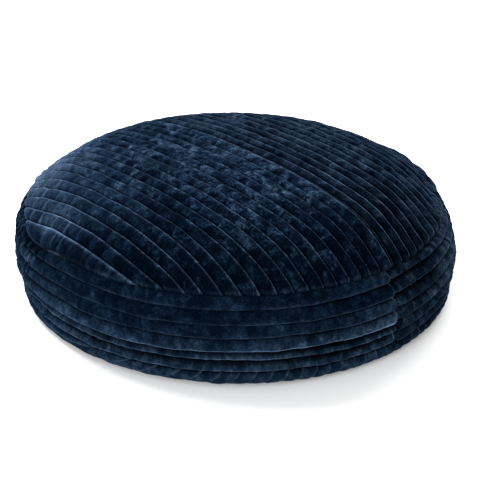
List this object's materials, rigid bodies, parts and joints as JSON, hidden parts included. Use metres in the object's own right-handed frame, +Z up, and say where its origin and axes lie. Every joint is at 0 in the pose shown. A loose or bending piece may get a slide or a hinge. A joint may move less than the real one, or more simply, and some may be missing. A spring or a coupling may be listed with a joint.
{
  "type": "floor cushion",
  "caption": "Round domed floor cushion: wide-wale plush cover with a side band, pieced panels and a zip in the bottom seam, over a filled inner casing.",
  "frame": {"origin": "centre of the flat underside", "axes": "+Z up through the crown; the wales of the top and bottom panels run along X, with the butt seams of the side band at +X and -X; the zip is round the back, at +Y"},
  "size_m": [0.8, 0.8, 0.258],
  "materials": {
    "cover": "deep navy plush pile with rounded wales, soft sheen at grazing angles",
    "seam_thread": "navy joined fabric edges and twisted polyester thread",
    "zip_tape": "navy woven tape, fine herringbone",
    "zip_coil": "navy nylon coil, satin",
    "zip_metal": "navy enamel over zinc, worn on the edges",
    "casing_cloth": "undyed plain-weave lining cloth",
    "casing_thread": "white polyester thread",
    "filling": "loose hollow-fibre and foam filling",
    "label": "white satin ribbon, blank"
  },
  "bodies": {
    "cushion": {"top_panel_front": "cover", "top_panel_back": "cover", "side_band_front": "cover", "side_band_back": "cover", "bottom_panel_front": "cover", "bottom_panel_back": "cover", "top_centre_seam": "seam_thread", "bottom_centre_seam": "seam_thread", "top_edge_seam": "seam_thread", "bottom_edge_seam": "seam_thread", "side_seam_right": "seam_thread", "side_seam_left": "seam_thread", "zip_tape_upper": "zip_tape", "zip_tape_lower": "zip_tape", "zip_coil_upper": "zip_coil", "zip_coil_lower": "zip_coil", "zip_top_stop": "zip_metal", "zip_bottom_stop": "zip_metal", "casing_top": "casing_cloth", "casing_side": "casing_cloth", "casing_bottom": "casing_cloth", "casing_closing_seam": "casing_thread", "filling": "filling", "care_label": "label"},
    "zip_slider": {"zip_slider": "zip_metal"},
    "zip_pull": {"zip_pull": "zip_metal"}
  },
  "joints": [
    {"name": "zip_slide", "type": "hinge", "parent": "cushion", "child": "zip_slider", "pos_m": [0, 0, 0.028], "axis": [0, 0, 1], "range_deg": [-81, 0]},
    {"name": "pull_swing", "type": "hinge", "parent": "zip_slider", "child": "zip_pull", "pos_m": [-0.31887, 0.23768, 0.028], "axis": [0.5976, 0.8018, 0], "range_deg": [0, 150]}
  ]
}
